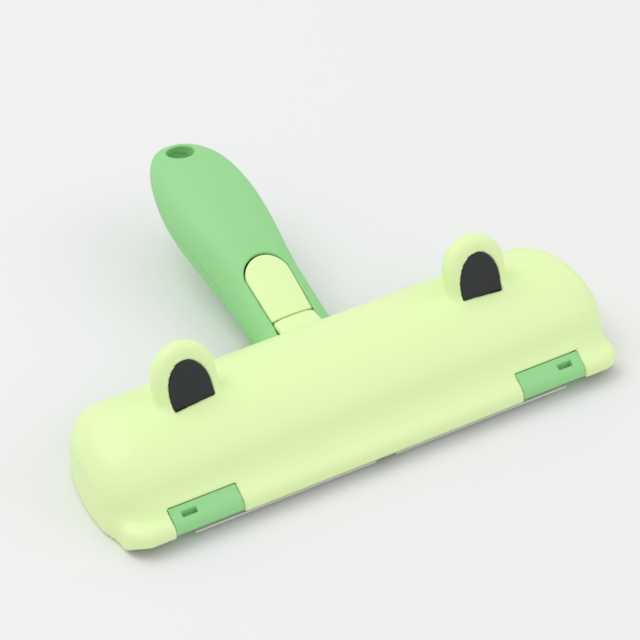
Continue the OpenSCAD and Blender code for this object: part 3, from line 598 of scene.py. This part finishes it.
def tongue_shape(x, y, z):
    """The tongue on the rear of the lid, which widens towards its root."""
    slimmed = np.clip((y - tongue_root) / tongue_neck, 0, 1)
    half = tongue_half + tongue_flare * (1 - slimmed) ** 1.6
    level = np.maximum(crown(x, z - tongue_top), tongue_under - z)
    tongue = meet(level, np.maximum(np.abs(x) - half, rear_cut_front - y), 0.3)
    return meet(tongue, y - tongue_end, 0.2)


def lid_shape(x, y, z):
    side = np.abs(x)
    form = lid_form(x, y, z)
    shell = unite(np.maximum(form, -(form + lid_wall)), tongue_shape(x, y, z), 1.2)
    shell = np.maximum(shell, -np.maximum(form + lid_wall, y - dome_hollow_back))
    shell = meet(shell, lid_foot - z, 0.4)
    across, out, up = ear_frame(x, y, z)
    eye_recess = np.maximum(eye_plan(across, up), np.maximum(out + eye_seat, -eye_room - out))
    shell = meet(shell, -eye_recess, 0.12)
    fall = smooth((y - fall_start_y) / fall_run_y) * smooth((side - fall_start_side) / fall_run_side)
    shell = meet(shell, -np.maximum(z - (lip_level - lip_fall * fall), y - lip_hollow_back), 0.4)
    for half, top in ((rear_cut_half, rear_cut_top), (notch_half, notch_top)):
        shell = meet(shell, -np.maximum(np.maximum(side - half, z - top), rear_cut_front - y), 0.4)
    recess = np.maximum(from_hinge(y, z) - recess_reach, np.abs(side - tab_middle) - recess_half)
    shell = meet(shell, -recess, 0.25)
    knuckle = np.maximum(from_hinge(y, z) - knuckle_r, knuckle_bore_r - from_hinge(y, z))
    from_knuckle = np.abs(np.abs(side - tab_middle) - knuckle_offset)
    knuckle = np.maximum(knuckle, from_knuckle - knuckle_t / 2)
    rib = block(x, y, z, (-5, 5), (27.95, 29.35), (15, 18), r=0.3)
    return np.minimum(np.minimum(shell, knuckle), rib)


lid = mould("lid_moulding", lid_shape, low=(-98, -35, 0), high=(98, 31, 50), cell=0.74)
fit(lid, lime, "lid", "lid")

# The eyes are two flat discs of matte black plastic in the form of an arch, glued in shallow
# recesses of the ears, a hair below their edges.
eye_black = moulded_plastic("eye_black", (0.014, 0.018, 0.02), (0.011, 0.014, 0.016), rough=0.6, grain=0.2)
eye_gap, eye_face, eye_back = 0.14, -3.95, -2.96


def eye_shape(x, y, z):
    across, out, up = ear_frame(x, y, z)
    return meet(eye_plan(across, up) + eye_gap, between(out, eye_face, eye_back), 0.15)


for side, low, high in (("left", -65, -48), ("right", 48, 65)):
    eye = mould(f"{side}_eye_disc", eye_shape, low=(low, -6, 27), high=(high, 6, 46), cell=0.3)
    fit(eye, eye_black, "lid", f"{side}_eye")

# The drum is an extruded white plastic shell with two end caps. Two strips of dark lint pile,
# a short velvet that grips hair one way, are glued along its round side.
drum_white = moulded_plastic("drum_white", (0.83, 0.85, 0.8), (0.8, 0.82, 0.77), rough=0.5, grain=0.2)
pile_dark = moulded_plastic("lint_pile", (0.13, 0.15, 0.17), (0.1, 0.115, 0.135), rough=0.9, grain=1.0)
nap = [n for n in pile_dark.node_tree.nodes if n.type == "BUMP"][0]
nap.inputs["Distance"].default_value = 0.0004
pile_half, pile_r, pile_back_r = 78, 13.75, 12.51
pile_middle_deg, pile_half_deg, pile_mm_per_deg = 37, 33, 0.235
tuft_height, tuft_along, tuft_around = 0.22, 3.1, 0.528
tuft_sway, tuft_sway_rate = 1.7, 0.11


def pile_shape(x, y, z):
    radius = np.hypot(y, z - axle_z)
    angle = np.degrees(np.arctan2(np.abs(y), axle_z - z))
    sway = tuft_sway * np.sin(tuft_sway_rate * angle)
    tufts = tuft_height * np.sin(tuft_along * x + sway) * np.sin(tuft_around * angle)
    strip = meet(radius - pile_r - tufts, pile_back_r - radius, 0.2)
    edge = (np.abs(angle - pile_middle_deg) - pile_half_deg) * pile_mm_per_deg
    return meet(meet(strip, edge, 0.6), np.abs(x) - pile_half, 0.5)


for side, low, high in (("front", -14.2, -0.8), ("rear", 0.8, 14.2)):
    strip = mould(f"{side}_pile_strip", pile_shape, low=(-pile_half, low, 0),
                  high=(pile_half, high, 12), cell=0.6)
    fit(strip, pile_dark, "drum", f"{side}_pile")

# Four bars of grey rubber are glued under the front beam and the rear wall. They wipe the fabric
# on both sides of the drum and leave a gap in the middle of the head.
# Their colour holds painted light: the grey is lightened and tinted green to stand for the light that
# shines through the lime lid and off it onto them.
rubber_grey_with_painted_lid_light = moulded_plastic("rubber_grey_with_painted_lid_light", (0.72, 0.74, 0.66), (0.68, 0.70, 0.62), rough=0.6, grain=0.4)
strip_inner, strip_outer, strip_t = 3.85, 72.65, 0.59
for name, front, back, foot in (("front", -33.4, -23.9, 2.9), ("rear", 20.8, 31.7, 1.4)):
    for side, sign in (("left", -1), ("right", 1)):
        ends = sorted((sign * strip_inner, sign * strip_outer))

        def strip_shape(x, y, z):
            return block(x, y, z, ends, (front, back), (foot, foot + strip_t), r=0.2)

        strip = mould(f"{name}_{side}_wiper", strip_shape, low=(ends[0], front, foot),
                      high=(ends[1], back, foot + 0.6), cell=0.25)
        fit(strip, rubber_grey_with_painted_lid_light, "frame", f"{name}_{side}_strip")

# Steel screws with flat heads and a cross recess: two through the wall of the head into the
# handle, two through the lower shell of the handle, and four on the bearing caps of the drum.
steel = moulded_plastic("plain_steel", (0.6, 0.6, 0.61), (0.56, 0.56, 0.57), rough=0.32, grain=0.1)
steel.node_tree.nodes["Principled BSDF"].inputs["Metallic"].default_value = 1
recess_arm, recess_bar_t, recess_share = 0.6, 0.6, 0.45
handle_seat_n, neck_seat_y = -9.02, 26.79
cap_screw_x, cap_screw_y, cap_screw_z = 82.9, 7, 20.51


def screw(name, node, seat, into, shank_r, shank_length, head_r, head_height):
    """A screw whose head rests at a seat and whose shank points into the piece."""
    into = np.array(into, float) / np.linalg.norm(into)
    side = np.array([1.0, 0, 0])
    third = np.cross(into, side)

    def shape(a, b, c):
        around = np.hypot(a, b)
        shank = np.maximum(around - shank_r, between(c, 0, shank_length))
        head = meet(around - head_r, between(c, -head_height, 0), 0.25)
        bars = np.minimum(np.maximum(np.abs(a) - recess_bar_t / 2, np.abs(b) - head_r * recess_arm),
                          np.maximum(np.abs(b) - recess_bar_t / 2, np.abs(a) - head_r * recess_arm))
        return np.maximum(np.minimum(shank, head), -np.maximum(bars, c + head_height * recess_share))

    def place(points):
        a, b, c = points.T[:, :, None]
        return np.array(seat, float) + a * side + b * third + c * into

    piece = mould(name, shape, low=(-head_r, -head_r, -head_height), high=(head_r, head_r, shank_length),
                  cell=0.2, place=place)
    fit(piece, steel, "frame", node)


for i, station in enumerate(screw_stations):
    seat = [float(v) for v in in_head(0, station, handle_seat_n)]
    screw(f"handle_screw_{i + 1}", "handle_screws", seat, (0, -math.sin(grip_tilt), math.cos(grip_tilt)),
          shank_r=1.4, shank_length=13.5, head_r=2.5, head_height=1.58)
for side, sign in (("left", -1), ("right", 1)):
    screw(f"neck_screw_{side}", "neck_screws", (sign * neck_screw_x, neck_seat_y, neck_screw_z), (0, 1, 0),
          shank_r=1.4, shank_length=7.3, head_r=2.5, head_height=1.58)
for i, (sign, end) in enumerate(((-1, -1), (-1, 1), (1, -1), (1, 1))):
    seat = (sign * cap_screw_x, end * cap_screw_y, cap_screw_z)
    screw(f"bearing_cap_screw_{i + 1}", "bearing_cap_screws", seat, (0, 0, -1),
          shank_r=0.9, shank_length=10, head_r=1.8, head_height=1.2)

# Plain turned and moulded pieces with the shape that the frame gives them: the steel hinge pins,
# the button's pin and its coil spring, the drum's shell and end caps, and its bearing caps.
finishes = {"green_plastic": mid_green, "lime_plastic": lime, "drum_plastic": drum_white,
            "pile": pile_dark, "grey_rubber": rubber_grey_with_painted_lid_light, "steel": steel, "eye_black": eye_black}
slot_of = {part["node"]: part["material_slot"] for part in frame["record"]["subparts"]}
for node, obj in frame["nodes"].items():
    obj.data.materials.clear()
    obj.data.materials.append(finishes[slot_of[node]])
